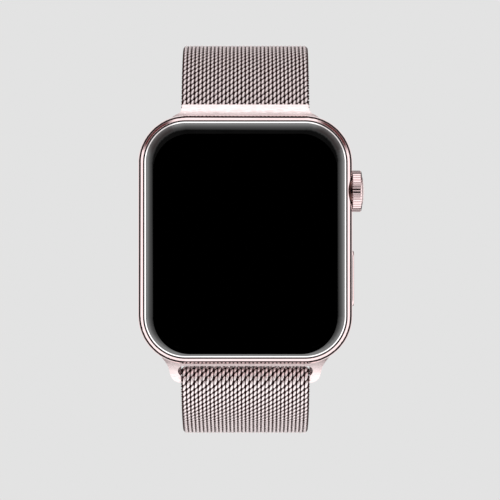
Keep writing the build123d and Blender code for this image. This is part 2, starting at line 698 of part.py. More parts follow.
def bar_turn(degrees):
    """The mesh's turn round the bar, from its inner layer through the slot."""
    start = strap_point(ENTRY_ANGLE)
    first = math.atan2(start[1] - BAR_CENTRE[1], start[0] - BAR_CENTRE[0])
    inner_r = TURN_RADIUS - STRAP_THICKNESS / 2
    outer_r = TURN_RADIUS + STRAP_THICKNESS / 2

    def at(radius, part):
        turn = first + math.radians(degrees) * part
        return (0, BAR_CENTRE[0] + radius * math.cos(turn), BAR_CENTRE[1] + radius * math.sin(turn))

    edges = [ThreePointArc(at(inner_r, 0), at(inner_r, 0.5), at(inner_r, 1)),
             ThreePointArc(at(outer_r, 0), at(outer_r, 0.5), at(outer_r, 1)),
             Line(at(inner_r, 0), at(outer_r, 0)),
             Line(at(inner_r, 1), at(outer_r, 1))]
    return extrude(make_face(edges), STRAP_WIDTH / 2, both=True)


def strap_loop():
    """The closed part of the mesh: upper lug, round the wrist and up through the slot."""
    return ribbon(EXIT_ANGLE - 0.1, ENTRY_ANGLE, lambda a: 0.0, 40) + bar_turn(180 - FREE_TURN)


def strap_tail_upper():
    """The tail's upper half, from the bar to the place where it curls."""
    return ribbon(ENTRY_ANGLE + 0.2, CURL_ANGLE, tail_offset)


def strap_tail_lower():
    """The tail's lower half, down to just short of the clasp."""
    clasp_edge = (-CLASP_HALF - LOOP_CENTRE[0]) / (LOOP_HALF_LENGTH + TAIL_OFFSET)
    end = -math.degrees(math.acos(clasp_edge)) - 0.45
    return ribbon(CURL_ANGLE + 0.2, end, tail_offset)


# ---------------------------------------------------------------- clasp
def under_strap(gap, bottom, half, width):
    """A block under the strap, hollowed on top to follow it at a given gap."""
    block = box(-width / 2, width / 2, -half, half, bottom, LOOP_CENTRE[1] - LOOP_HALF_HEIGHT + 2)
    return block - oval(STRAP_THICKNESS / 2 + gap, width + 2)


def oval(offset, width):
    """The strap's oval, grown by offset and filled, across a given width."""
    a = LOOP_HALF_LENGTH + offset
    b = LOOP_HALF_HEIGHT + offset
    face = Plane(origin=(0, *LOOP_CENTRE), x_dir=(0, 1, 0), z_dir=(1, 0, 0)) * Ellipse(a, b)
    return extrude(face, width / 2, both=True)


def clasp_housing():
    """Shallow tray at the end of the tail that holds the magnets."""
    body = under_strap(CLASP_GAP, CLASP_BOTTOM, CLASP_HALF, CLASP_WIDTH)
    body = fillet(body.edges().filter_by(Axis.Z), 1.2)
    body = fillet(body.faces().sort_by(Axis.Z)[0].edges(), 0.7)
    half_width = CLASP_WIDTH / 2 - CLASP_WALL
    half_length = CLASP_HALF - CLASP_WALL
    return body - box(-half_width, half_width, -half_length, half_length, CLASP_BOTTOM + CLASP_FLOOR, 0)


def clasp_cover():
    """Thin lid over the magnets, curved to lie against the strap."""
    wall = CLASP_WALL + 0.05
    plate = under_strap(CLASP_GAP, -BIG, CLASP_HALF - wall, CLASP_WIDTH - 2 * wall)
    return plate & oval(STRAP_THICKNESS / 2 + CLASP_GAP + COVER_THICKNESS, CLASP_WIDTH)


def clasp_magnets():
    top = LOOP_CENTRE[1] - LOOP_HALF_HEIGHT - STRAP_THICKNESS / 2 - CLASP_GAP - COVER_THICKNESS - 0.05
    length, width = MAGNET_SIZE
    bottom = CLASP_BOTTOM + CLASP_FLOOR + TINY
    spots = [-MAGNET_SPACING, 0.0, MAGNET_SPACING]
    return [box(x - length / 2, x + length / 2, -width / 2, width / 2, bottom, top) for x in spots]


# ---------------------------------------------------------------- write every node
def save(name, shape):
    """Write one sub-part; a list of solids becomes one group."""
    if isinstance(shape, list):
        shape = Compound(children=[s.solid() if not isinstance(s, Solid) else s for s in shape])
    elif len(shape.solids()) == 1:
        shape = shape.solid()
    export_step(shape, f"parts/{name}.step")


def main():
    os.makedirs("parts", exist_ok=True)
    shell = envelope()
    nodes = {
        "case_body": case_body(shell),
        "front_glass": front_glass(shell),
        "display_panel": display_panel(),
        "front_gasket": front_gasket(),
        "mid_frame": mid_frame(),
        "frame_screws": frame_screws(),
        "rear_cover": rear_cover(),
        "sensor_window": sensor_window(),
        "rear_gasket": rear_gasket(),
        "sensor_board": sensor_board(),
        "sensor_diodes": sensor_diodes(),
        "charging_coil": charging_coil(),
        "alignment_magnet": alignment_magnet(),
        "battery": battery(),
        "logic_board": logic_board(),
        "shield_can": shield_can(),
        "processor": processor(),
        "haptic_housing": haptic_housing(),
        "haptic_mass": haptic_mass(),
        "speaker_module": speaker_module(),
        "microphone": microphone(),
        "crown_knob": crown_knob(),
        "crown_cap": crown_cap(),
        "crown_shaft": crown_shaft(),
        "crown_clip": crown_clip(),
        "crown_bush": crown_bush(),
        "crown_seal": crown_seal(),
        "crown_thrust_plate": crown_thrust_plate(),
        "crown_switch": crown_switch(),
        "crown_encoder": crown_encoder(),
        "side_button": side_button(),
        "side_button_seal": side_button_seal(),
        "side_button_switch": side_button_switch(),
        "side_button_bracket": side_button_bracket(),
        "lug_upper": lug_upper(shell),
        "lug_lower": lug_lower(shell),
        "release_button_upper": release_button(1),
        "release_button_lower": release_button(-1),
        "latch_pin_upper": latch_pin(1),
        "latch_pin_lower": latch_pin(-1),
        "latch_spring_upper": latch_spring(1),
        "latch_spring_lower": latch_spring(-1),
        "strap_loop": strap_loop(),
        "strap_tail_upper": strap_tail_upper(),
        "strap_tail_lower": strap_tail_lower(),
        "clasp_housing": clasp_housing(),
        "clasp_cover": clasp_cover(),
        "clasp_magnets": clasp_magnets(),
    }
    for name, shape in nodes.items():
        save(name, shape)


main()
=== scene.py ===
import math

import bpy
import numpy as np
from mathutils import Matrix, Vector


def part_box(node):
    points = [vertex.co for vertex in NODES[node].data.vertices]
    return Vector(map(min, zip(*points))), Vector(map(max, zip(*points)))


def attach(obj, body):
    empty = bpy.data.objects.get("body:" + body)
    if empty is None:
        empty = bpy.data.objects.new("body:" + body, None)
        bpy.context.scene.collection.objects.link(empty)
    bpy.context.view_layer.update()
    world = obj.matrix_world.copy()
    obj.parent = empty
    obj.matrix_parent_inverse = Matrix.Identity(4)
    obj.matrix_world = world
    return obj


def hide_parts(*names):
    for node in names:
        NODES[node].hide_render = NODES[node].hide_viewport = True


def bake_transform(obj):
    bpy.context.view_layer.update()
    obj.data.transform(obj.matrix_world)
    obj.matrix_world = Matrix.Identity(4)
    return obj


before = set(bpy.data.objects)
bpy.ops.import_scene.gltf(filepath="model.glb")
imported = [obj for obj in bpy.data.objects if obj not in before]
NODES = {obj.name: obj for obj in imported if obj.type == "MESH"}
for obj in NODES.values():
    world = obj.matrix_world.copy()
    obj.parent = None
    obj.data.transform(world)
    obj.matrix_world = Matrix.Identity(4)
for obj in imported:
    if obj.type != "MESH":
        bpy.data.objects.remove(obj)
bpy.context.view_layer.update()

# Smartwatch with a polished case and a woven metal strap. Metres. The origin is the centre of the cover
# glass's flat face, +X points to the crown, +Y to 12 o'clock and +Z out of the display.
MM = 0.001

# ---------------------------------------------------------------- driving dimensions
LOOP_LOW, LOOP_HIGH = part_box("strap_loop")
CLASP_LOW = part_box("clasp_housing")[0]
CAP_LOW, CAP_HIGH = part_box("crown_cap")
CASE_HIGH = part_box("case_body")[1]

STRAP_WIDTH = LOOP_HIGH.x - LOOP_LOW.x
STRAP_THICKNESS = 1.3 * MM
LOOP_HALF_LENGTH = (LOOP_HIGH.y - LOOP_LOW.y - STRAP_THICKNESS) / 2
LOOP_HALF_HEIGHT = 25.0 * MM
LOOP_CENTRE = ((LOOP_LOW.y + LOOP_HIGH.y) / 2, LOOP_LOW.z + STRAP_THICKNESS / 2 + LOOP_HALF_HEIGHT)
STRAP_EXIT_Y = 23.6 * MM        # where the mesh leaves the upper lug
STRAP_ENTRY_Y = -23.9 * MM      # where the mesh starts to turn round the lower bar
TURN_RADIUS = 1.68 * MM         # from the bar's axis to the middle of the mesh
LAYER_PITCH = 1.55 * MM         # from the inner layer to the tail that lies on it
SETTLE_ANGLE = math.radians(-192)   # where the tail has come down onto the inner layer
CURL_ANGLE = math.radians(-186)     # place on the oval where the tail curls

COLUMNS = 32                    # wire bends across the strap on one face
COLUMN_PITCH = (STRAP_WIDTH - 0.1 * MM) / COLUMNS
COIL_SPACING = 0.635 * MM       # from one coil to the next along the strap
COIL_LENGTH = 1.36 * MM         # of a flattened coil, along the strap, on the wire's axis
WIRE_RADIUS = 0.26 * MM
BEND_SHARPNESS = 0.12           # share of the sideways step taken where the wire goes through the mesh
STEPS_PER_BEND = 7
SIDES = 7                       # faces round a wire

CURL_BEFORE = -2.0 * MM         # the tail starts to bend this far before the curl's axis
CURL_AFTER = 4.0 * MM
LOOP_PIECES = 4
LOOP_SAMPLES = 2000             # points on the three stretches of the strap's path
TURN_SAMPLES = 200
TAIL_SAMPLES = 1200

CAP_EDGE = 0.08 * MM            # height of the cap's straight edge
CAP_RIDGES = 60
CAP_STEPS = 6                   # points round the cap for each ridge
CAP_NOTCH_RINGS = 8
CAP_RIDGE_HEIGHT = 0.1 * MM
CAP_RIDGE_WIDTH = 0.45 * MM

# sizes inside the materials are plain numbers of millimetres
CROWN_AXIS = ((CAP_LOW.y + CAP_HIGH.y) / 2 / MM, (CAP_LOW.z + CAP_HIGH.z) / 2 / MM)
RECESS_RADIUS = 4.25
RECESS_DEPTH = 0.85
HUB_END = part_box("crown_knob")[0].x / MM + 0.3      # where the knob's hub meets its knurled body
CASE_HALF = (CASE_HIGH.x / MM, CASE_HIGH.y / MM)
CASE_CORNER = 8.5
EDGE_HIGHLIGHT = (1.23, 1.45)      # painted highlight on the glass, a bright mirror stripe, as distances in from the case's outline
DISPLAY_HALF = (16.25, 19.45)   # the black display, seen through the glass
DISPLAY_CORNER = 6.5
DISPLAY_Y = -0.8
GLASS_BEND = (2.8, 3.1)         # the glass starts to curve down this far in from the case's outline

ROSE = (0.90, 0.70, 0.70)
# a paler copy of ROSE for the lugs, painted lighter for the light they catch
LUG_LIT_ROSE = (0.94, 0.79, 0.79)
# dark colour painted as shade in the crown's recess, on the case there and on the crown's hub
RECESS_SHADE = (0.10, 0.045, 0.04)


# ---------------------------------------------------------------- the strap's path
def oval_point(angle, offset):
    """Points (y, z) on the strap's oval, moved out along its normal."""
    normal_y = np.cos(angle) / LOOP_HALF_LENGTH
    normal_z = np.sin(angle) / LOOP_HALF_HEIGHT
    scale = offset / np.hypot(normal_y, normal_z)
    y = LOOP_CENTRE[0] + LOOP_HALF_LENGTH * np.cos(angle) + normal_y * scale
    z = LOOP_CENTRE[1] + LOOP_HALF_HEIGHT * np.sin(angle) + normal_z * scale
    return np.stack([y, z], axis=-1)


def angle_at(y):
    """Angle of the oval's upper half at a given y."""
    return math.acos((y - LOOP_CENTRE[0]) / LOOP_HALF_LENGTH)


EXIT_ANGLE = angle_at(STRAP_EXIT_Y)
ENTRY_ANGLE = angle_at(STRAP_ENTRY_Y) - 2 * math.pi
BAR_CENTRE = oval_point(np.array(ENTRY_ANGLE), TURN_RADIUS)
ENTRY_NORMAL = (BAR_CENTRE - oval_point(np.array(ENTRY_ANGLE), 0.0)) / TURN_RADIUS


def tail_offset(angle):
    """Distance from the inner layer to the tail: wide at the bar, close further round."""
    part = np.clip((SETTLE_ANGLE - angle) / (SETTLE_ANGLE - ENTRY_ANGLE), 0, 1)
    return LAYER_PITCH + (2 * TURN_RADIUS - LAYER_PITCH) * (0.5 - 0.5 * np.cos(math.pi * part))


def strap_path():
    """The middle line of the whole strip: round the loop, round the bar and down the tail.

    Returns the points, their distance along the strip and where each of the three stretches ends."""
    loop = oval_point(np.linspace(EXIT_ANGLE, ENTRY_ANGLE, LOOP_SAMPLES), 0.0)
    first = math.atan2(*(-ENTRY_NORMAL)[::-1])
    turn = first + np.linspace(0, math.pi, TURN_SAMPLES)[1:]
    bar = BAR_CENTRE + TURN_RADIUS * np.stack([np.cos(turn), np.sin(turn)], axis=-1)
    angles = TAIL_ANGLES[1:]
    tail = oval_point(angles, tail_offset(angles))
    points = np.concatenate([loop, bar, tail])
    along = np.concatenate([[0], np.cumsum(np.hypot(*np.diff(points, axis=0).T))])
    ends = [along[len(loop) - 1], along[len(loop) + len(bar) - 1], along[-1]]
    return points, along, ends


TAIL_END_ANGLE = -math.acos((CLASP_LOW.y - LOOP_CENTRE[0]) / (LOOP_HALF_LENGTH + LAYER_PITCH))
TAIL_END_ANGLE -= math.radians(0.9)
TAIL_ANGLES = np.linspace(ENTRY_ANGLE, TAIL_END_ANGLE, TAIL_SAMPLES)
PATH, ALONG, (LOOP_END, TURN_END, TAIL_END) = strap_path()
TAIL_ALONG = ALONG[-TAIL_SAMPLES:]
HEADING = np.unwrap(np.arctan2(*np.gradient(PATH, axis=0)[:, ::-1].T))


def on_strap(along, across, up):
    """Points at a distance along the strip, a place across it and a height over its middle line."""
    heading = np.interp(along, ALONG, HEADING)
    y = np.interp(along, ALONG, PATH[:, 0]) - np.sin(heading) * up
    z = np.interp(along, ALONG, PATH[:, 1]) + np.cos(heading) * up
    return np.stack([across, y, z], axis=-1)


# ---------------------------------------------------------------- woven wire
def coil_line(odd):
    """Middle line of a flattened wire coil that lies across the strip, and the way out of it.

    Both are given as (across, along, up). Every second coil begins half a turn later, so that
    the bends of neighbours interlock."""
    first = math.pi if odd else 0.0
    phase = first + np.linspace(0, COLUMNS * math.pi, COLUMNS * STEPS_PER_BEND + 1)
    steps = phase - first + BEND_SHARPNESS * np.sin(2 * phase)
    across = COLUMNS * COLUMN_PITCH / 2 - COLUMN_PITCH * steps / math.pi
    along = COIL_LENGTH / 2 * np.cos(phase)
    up = (STRAP_THICKNESS / 2 - WIRE_RADIUS) * np.sin(phase)
    outward = np.stack([np.zeros_like(phase), along, up], axis=-1)
    return np.stack([across, along, up], axis=-1), outward


def unit(vectors):
    return vectors / np.linalg.norm(vectors, axis=-1, keepdims=True)


def ring_faces(rings, around):
    """Side faces and end faces of a stack of rings with the same number of points."""
    index = np.arange(rings * around).reshape(rings, around)
    after = np.roll(index, -1, axis=1)
    quads = np.stack([index[:-1], after[:-1], after[1:], index[1:]], axis=-1)
    return quads.reshape(-1, 4), np.stack([index[0, ::-1], index[-1]])


def wire(line, outward, radius):
    """Vertices, side faces and end faces of a round wire along a line.

    Two narrower rings beyond each end round it off. The last result tells for each vertex how
    far it faces outward, 0 to 1."""
    tangent = unit(np.gradient(line, axis=0))
    side = unit(outward - tangent * np.sum(outward * tangent, axis=-1, keepdims=True))
    other = np.cross(tangent, side)
    count = len(line)
    ahead = np.array([-1.0, -0.7] + [0.0] * count + [0.7, 1.0]) * radius
    width = np.array([0.25, 0.75] + [1.0] * count + [0.75, 0.25]) * radius
    pick = np.clip(np.arange(count + 4) - 2, 0, count - 1)
    middle = line[pick] + tangent[pick] * ahead[:, None]
    turn = np.arange(SIDES)[:, None] * 2 * math.pi / SIDES
    ring = side[pick, None] * np.cos(turn) + other[pick, None] * np.sin(turn)
    vertices = middle[:, None] + ring * width[:, None, None]
    facing = np.tile(np.maximum(np.cos(turn[:, 0]), 0), count + 4)
    return vertices.reshape(-1, 3), *ring_faces(count + 4, SIDES), facing


COILS = [wire(*coil_line(odd), WIRE_RADIUS) for odd in (0, 1)]


def mesh_object(name, vertices, *face_groups):
    """A smooth-shaded mesh object from arrays of faces; each group has faces of one size."""
    mesh = bpy.data.meshes.new(name)
    corners = np.concatenate([faces.ravel() for faces in face_groups])
    sizes = np.concatenate([np.full(len(faces), faces.shape[1]) for faces in face_groups])
    mesh.vertices.add(len(vertices))
    mesh.vertices.foreach_set("co", vertices.astype(np.float32).ravel())
    mesh.loops.add(len(corners))
    mesh.loops.foreach_set("vertex_index", corners.astype(np.int32))
    mesh.polygons.add(len(sizes))
    mesh.polygons.foreach_set("loop_start", (np.cumsum(sizes) - sizes).astype(np.int32))
    mesh.polygons.foreach_set("use_smooth", np.ones(len(sizes), bool))
    mesh.update(calc_edges=True)
    obj = bpy.data.objects.new(name, mesh)
    bpy.context.scene.collection.objects.link(obj)
    return obj


def add_height(obj, values):
    """Stores how far each vertex stands out, 0 to 1: the material paints shade on what lies deep."""
    attribute = obj.data.attributes.new("height", "FLOAT", "POINT")
    attribute.data.foreach_set("value", values.astype(np.float32))


def woven(name, first, last, material):
    """One stretch of the woven strip, made of the coils numbered from first to last.

    A wire keeps its bright colour where it lies high in the weave and faces out of it; the stored height
    lets the material paint shade on the rest."""
    vertices, quads, ends, height = [], [], [], []
    total = 0
    for number in range(first, last + 1):
        local, sides, caps, facing = COILS[number % 2]
        vertices.append(on_strap(local[:, 1] + number * COIL_SPACING, local[:, 0], local[:, 2]))
        # height for the painted shade: high and facing out gives 1, deep or facing inward gives 0
        middle = np.abs(local[:, 2]) - WIRE_RADIUS * facing
        height.append(np.clip(middle / (STRAP_THICKNESS / 2 - WIRE_RADIUS), 0, 1) * facing)
        quads.append(sides + total)
        ends.append(caps + total)
        total += len(local)
    obj = mesh_object(name, np.concatenate(vertices), np.concatenate(quads), np.concatenate(ends))
    add_height(obj, np.concatenate(height))
    obj.data.materials.append(material)
    return obj


def build_strap(material):
    """The woven strip in stretches: those that cross a joint are set in place and ride on no body, the
    others ride on one body.
    """
    last = int((TAIL_END - 0.5 * MM) / COIL_SPACING)
    fold_first = round(LOOP_END / COIL_SPACING)
    fold_last = round(TURN_END / COIL_SPACING)
    curl = float(np.interp(CURL_ANGLE, TAIL_ANGLES, TAIL_ALONG))
    curl_first = int((curl + CURL_BEFORE - COIL_LENGTH) / COIL_SPACING)
    curl_last = int((curl + CURL_AFTER + COIL_LENGTH) / COIL_SPACING) + 1

    count = fold_first
    cuts = [round(count * i / LOOP_PIECES) for i in range(LOOP_PIECES + 1)]
    for i in range(LOOP_PIECES):
        piece = woven(f"strap_mesh_loop_{i + 1}", cuts[i], cuts[i + 1] - 1, material)
        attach(piece, "case")
    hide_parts("strap_loop")

    fold = woven("strap_mesh_fold", fold_first, fold_last, material)
    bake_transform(fold)

    upper = woven("strap_mesh_tail_upper", fold_last + 1, curl_first - 1, material)
    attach(upper, "tail_upper")
    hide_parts("strap_tail_upper")

    bend = woven("strap_mesh_tail_bend", curl_first, curl_last, material)
    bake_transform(bend)

    middle = (curl_last + last) // 2
    for i, (first, final) in enumerate([(curl_last + 1, middle), (middle + 1, last)]):
        piece = woven(f"strap_mesh_tail_lower_{i + 1}", first, final, material)
        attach(piece, "tail_lower")
        if i == 0:
            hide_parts("strap_tail_lower")


# ---------------------------------------------------------------- crown's end cap
def build_crown_cap(material):
    """Shallow domed cap with a ring of fine notches round its edge, turned about the crown's axis."""
    axis_y = (CAP_LOW.y + CAP_HIGH.y) / 2
    axis_z = (CAP_LOW.z + CAP_HIGH.z) / 2
    radius = (CAP_HIGH.y - CAP_LOW.y) / 2
    bulge = CAP_HIGH.x - CAP_LOW.x - CAP_EDGE
    notched = radius - np.linspace(0, CAP_RIDGE_WIDTH, CAP_NOTCH_RINGS)
    plain = (radius - CAP_RIDGE_WIDTH) * np.array([0.97, 0.85, 0.7, 0.5, 0.3, 0.1, 0.01])
    reach = np.concatenate([[0.2 * radius, radius], notched, plain])
    x = CAP_LOW.x + CAP_EDGE + bulge * (1 - (reach / radius) ** 2)
    x[:2] = CAP_LOW.x
    # notches are deepest half way across their ring and fade out on both sides of it
    amount = np.zeros(len(reach))
    amount[2:2 + len(notched)] = np.sin(np.linspace(0.2, math.pi, len(notched)))
    turn = np.arange(CAP_RIDGES * CAP_STEPS) * 2 * math.pi / (CAP_RIDGES * CAP_STEPS)
    notch = amount[:, None] * (0.5 - 0.5 * np.cos(turn * CAP_RIDGES))
    places_x = x[:, None] - notch * CAP_RIDGE_HEIGHT
    r = reach[:, None] - notch * CAP_RIDGE_HEIGHT * 0.4
    vertices = np.stack([places_x, axis_y + r * np.cos(turn), axis_z + r * np.sin(turn)], axis=-1)
    cap = mesh_object("crown_end_cap", vertices.reshape(-1, 3), *ring_faces(*notch.shape))
    # the notches get painted shade from the material, the ridges between them stay bright
    add_height(cap, 1 - notch.ravel())
    cap.data.materials.append(material)
    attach(cap, "crown")
    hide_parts("crown_cap")


# ---------------------------------------------------------------- smooth shading of CAD parts
def smooth_normals(obj, crease):
    """Shades a faceted CAD part smoothly wherever its faces meet at less than the crease angle.

    Only the normals change: each corner takes the area-weighted mean of its neighbours' normals."""
    mesh = obj.data
    corner_count = len(mesh.loops)
    corner_vertex = np.empty(corner_count, np.int32)
    mesh.loops.foreach_get("vertex_index", corner_vertex)
    places = np.empty(len(mesh.vertices) * 3, np.float32)
    mesh.vertices.foreach_get("co", places)
    places = places.reshape(-1, 3)
    starts = np.empty(len(mesh.polygons), np.int32)
    mesh.polygons.foreach_get("loop_start", starts)
    order = np.argsort(starts)
    face_of_corner = np.repeat(order, np.diff(np.append(starts[order], corner_count)))
    a, b, c = (places[corner_vertex[starts + i]].astype(float) for i in range(3))
    face_normal = np.cross(b - a, c - a)
    size = np.linalg.norm(face_normal, axis=1)
    direction = face_normal / np.maximum(size, 1e-20)[:, None]
    grid = np.round(places[corner_vertex] / (0.0005 * MM)).astype(np.int64)
    spot = np.unique(grid, axis=0, return_inverse=True)[1].ravel()
    result = direction[face_of_corner].copy()
    by_spot = np.argsort(spot, kind="stable")
    limits = np.flatnonzero(np.diff(spot[by_spot])) + 1
    for group in np.split(by_spot, limits):
        faces = face_of_corner[group]
        near = direction[faces] @ direction[faces].T > math.cos(crease)
        mean = near @ face_normal[faces]
        length = np.linalg.norm(mean, axis=1, keepdims=True)
        result[group] = np.where(length > 0, mean / np.maximum(length, 1e-20), result[group])
    mesh.polygons.foreach_set("use_smooth", np.ones(len(mesh.polygons), bool))
    mesh.normals_split_custom_set(result.astype(np.float32))


# ---------------------------------------------------------------- materials
class Nodes:
    """Short ways to add nodes to a tree. Their inputs are plain values or sockets of other nodes."""

    def __init__(self, tree):
        self.tree = tree

    def link(self, value, socket):
        if isinstance(value, bpy.types.NodeSocket):
            self.tree.links.new(value, socket)
        else:
            socket.default_value = value

    def fill(self, node, inputs):
        """Sets inputs by name or number."""
        for key, value in inputs.items():
            self.link(value, node.inputs[key])

    def node(self, kind, inputs, **settings):
        made = self.tree.nodes.new(kind)
        for key, value in settings.items():
            setattr(made, key, value)
        self.fill(made, inputs)
        return made

    def math(self, operation, first, second=0.0):
        return self.node("ShaderNodeMath", {0: first, 1: second}, operation=operation).outputs[0]

    def mix(self, factor, first, second):
        """A colour between two colours."""
        inputs = {0: factor}
        for number, colour in ((6, first), (7, second)):
            inputs[number] = (*colour, 1) if isinstance(colour, tuple) else colour
        return self.node("ShaderNodeMix", inputs, data_type="RGBA").outputs[2]


class Recipe(Nodes):
    """A material being built, in millimetres of the watch."""

    def __init__(self, name, colour, metallic, roughness, **inputs):
        material = bpy.data.materials.new(name)
        material.use_nodes = True
        self.open(material)
        self.fill(self.shader, {"Base Color": (*colour, 1), "Metallic": metallic, "Roughness": roughness})
        self.fill(self.shader, inputs)

    @classmethod
    def reopen(cls, material):
        """Goes on with a material that was already built."""
        recipe = cls.__new__(cls)
        recipe.open(material)
        return recipe

    def open(self, material):
        self.material = material
        super().__init__(material.node_tree)
        self.shader = self.tree.nodes["Principled BSDF"]
        self.coordinates = self.tree.nodes.new("ShaderNodeTexCoord").outputs["Object"]

    def overlay(self, key, factor, value):
        """Mixes a colour or a number over what already feeds one of the shader's inputs."""
        before = self.shader.inputs[key].links[0].from_socket
        if isinstance(value, tuple):
            self.fill(self.shader, {key: self.mix(factor, before, value)})
        else:
            share = self.math("MULTIPLY", before, self.math("SUBTRACT", 1.0, factor))
            self.fill(self.shader, {key: self.math("ADD", share, self.math("MULTIPLY", factor, value))})

    def place(self, stretch=(1, 1, 1)):
        """Position in millimetres, stretched along the axes."""
        scale = [share / MM for share in stretch]
        return self.node("ShaderNodeMapping", {"Vector": self.coordinates, "Scale": scale}).outputs[0]

    def noise(self, per_mm, detail=2.0, stretch=(1, 1, 1)):
        inputs = {"Vector": self.place(stretch), "Scale": per_mm, "Detail": detail}
        return self.node("ShaderNodeTexNoise", inputs).outputs["Fac"]

    def spread(self, value, low, high, start=0.35, end=0.65):
        """Maps a value from start..end to low..high."""
        inputs = {"Value": value, "From Min": start, "From Max": end, "To Min": low, "To Max": high}
        return self.node("ShaderNodeMapRange", inputs).outputs[0]

    def split(self):
        """The three coordinates in millimetres."""
        return self.node("ShaderNodeSeparateXYZ", {"Vector": self.place()}).outputs

    def length(self, first, second):
        """Length of a flat vector."""
        squares = [self.math("MULTIPLY", value, value) for value in (first, second)]
        return self.math("SQRT", self.math("ADD", *squares))

    def grey(self, value):
        """A grey of a given value."""
        return self.node("ShaderNodeCombineColor", {"Red": value, "Green": value, "Blue": value}).outputs[0]

    def inset(self, half, corner, centre_y):
        """How far in a place is from a rounded rectangle round the glass, up to its corner radius."""
        x, y, _ = self.split()
        y = self.math("SUBTRACT", y, centre_y)
        over = []
        for value, size in zip((x, y), half):
            past = self.math("SUBTRACT", self.math("ABSOLUTE", value), size - corner)
            over.append(self.math("MAXIMUM", past, 0.0))
        return self.math("SUBTRACT", corner, self.length(*over))

    def colour(self, factor, first, second):
        self.fill(self.shader, {"Base Color": self.mix(factor, first, second)})

    def roughness(self, value):
        self.fill(self.shader, {"Roughness": value})

    def bump(self, height, depth, strength=1.0):
        """Tilts the surface by a height map; depth is in millimetres."""
        inputs = {"Height": height, "Distance": depth * MM, "Strength": strength}
        self.fill(self.shader, {"Normal": self.node("ShaderNodeBump", inputs).outputs[0]})


def shade(colour, amount):
    return tuple(c * amount for c in colour)


def polished_metal(name, colour=ROSE, roughness=0.06):
    """Mirror-polished metal with hairline wear and a faint cloudiness."""
    recipe = Recipe(name, colour, 1.0, roughness)
    hairlines = recipe.noise(6.0, 3.0, (0.15, 1, 3))
    clouds = recipe.noise(0.25, 2.0)
    recipe.colour(recipe.spread(clouds, 0.0, 1.0), colour, shade(colour, 0.95))
    recipe.roughness(recipe.spread(hairlines, roughness * 0.7, roughness * 1.6))
    recipe.bump(hairlines, 0.0006, 0.3)
    return recipe.material


def case_metal():
    """The case's polished metal, with painted shade in the recess behind the crown: dark and matt there."""
    material = polished_metal("polished_case", ROSE, 0.05)
    recipe = Recipe.reopen(material)
    x, y, z = recipe.split()
    away = [recipe.math("SUBTRACT", value, centre) for value, centre in zip((y, z), CROWN_AXIS)]
    near = recipe.spread(recipe.length(*away), 1.0, 0.0, RECESS_RADIUS + 0.01, RECESS_RADIUS + 0.03)
    outside_floor = recipe.math("GREATER_THAN", x, CASE_HALF[0] - RECESS_DEPTH - 0.02)
    inside = recipe.math("MULTIPLY", near, outside_floor)
    # painted shade: the recess behind the crown is coloured dark bronze and made rough
    recipe.overlay("Base Color", inside, RECESS_SHADE)
    recipe.overlay("Roughness", inside, 0.5)
    return material


def crown_metal():
    """Polished metal with painted shade, near black, where it is seen edge-on, standing in for the shade in
    knurling; its hub gets painted shade for the recess it sits in.
    """
    material = polished_metal("crown_knurl", ROSE, 0.10)
    recipe = Recipe.reopen(material)
    # painted shade: near black towards the knob's edge-on outline
    facing = recipe.node("ShaderNodeLayerWeight", {"Blend": 0.5}).outputs["Facing"]
    recipe.overlay("Base Color", recipe.spread(facing, 0.0, 1.0, 0.42, 0.58), (0.02, 0.006, 0.006))
    # painted shade on the hub, down in the crown's recess
    hub = recipe.math("LESS_THAN", recipe.split()[0], HUB_END - 0.02)
    recipe.overlay("Base Color", hub, RECESS_SHADE)
    return material


def hollow_shaded_metal(name, colour, deep, start, end, roughness, metallic=1.0):
    """Metal with painted shade, dark and less metallic, down in its hollows and on sides that face into
    them; it keeps its bright colour where it stands high.
    """
    recipe = Recipe(name, colour, 1.0, roughness)
    height = recipe.node("ShaderNodeAttribute", {}, attribute_name="height").outputs["Fac"]
    # painted shade: the colour runs from the deep colour in the hollows to the bright colour on the crests
    crest_light = recipe.spread(height, 0.0, 1.0, start, end)
    drawn = recipe.noise(9.0, 2.0, (1, 0.3, 0.3))
    recipe.colour(crest_light, deep, colour)
    share = recipe.math("MULTIPLY", crest_light, metallic)
    recipe.fill(recipe.shader, {"Metallic": share, "Specular IOR Level": 0.1})
    recipe.roughness(recipe.spread(drawn, roughness * 0.8, roughness * 1.3))
    recipe.bump(drawn, 0.002, 0.3)
    return recipe.material


def woven_wire():
    # crests painted near white, lighter than the rose metal, as painted highlight; painted shade, near
    # black, deep in the weave
    return hollow_shaded_metal("woven_wire", (1.0, 0.88, 0.88), deep=(0.035, 0.008, 0.008), start=0.42, end=0.68,
                      roughness=0.17, metallic=0.5)


def notched_cap():
    # painted shade, near black, down in the cap's notches
    return hollow_shaded_metal("notched_cap", ROSE, deep=(0.008, 0.003, 0.003), start=0.2, end=0.8, roughness=0.12)


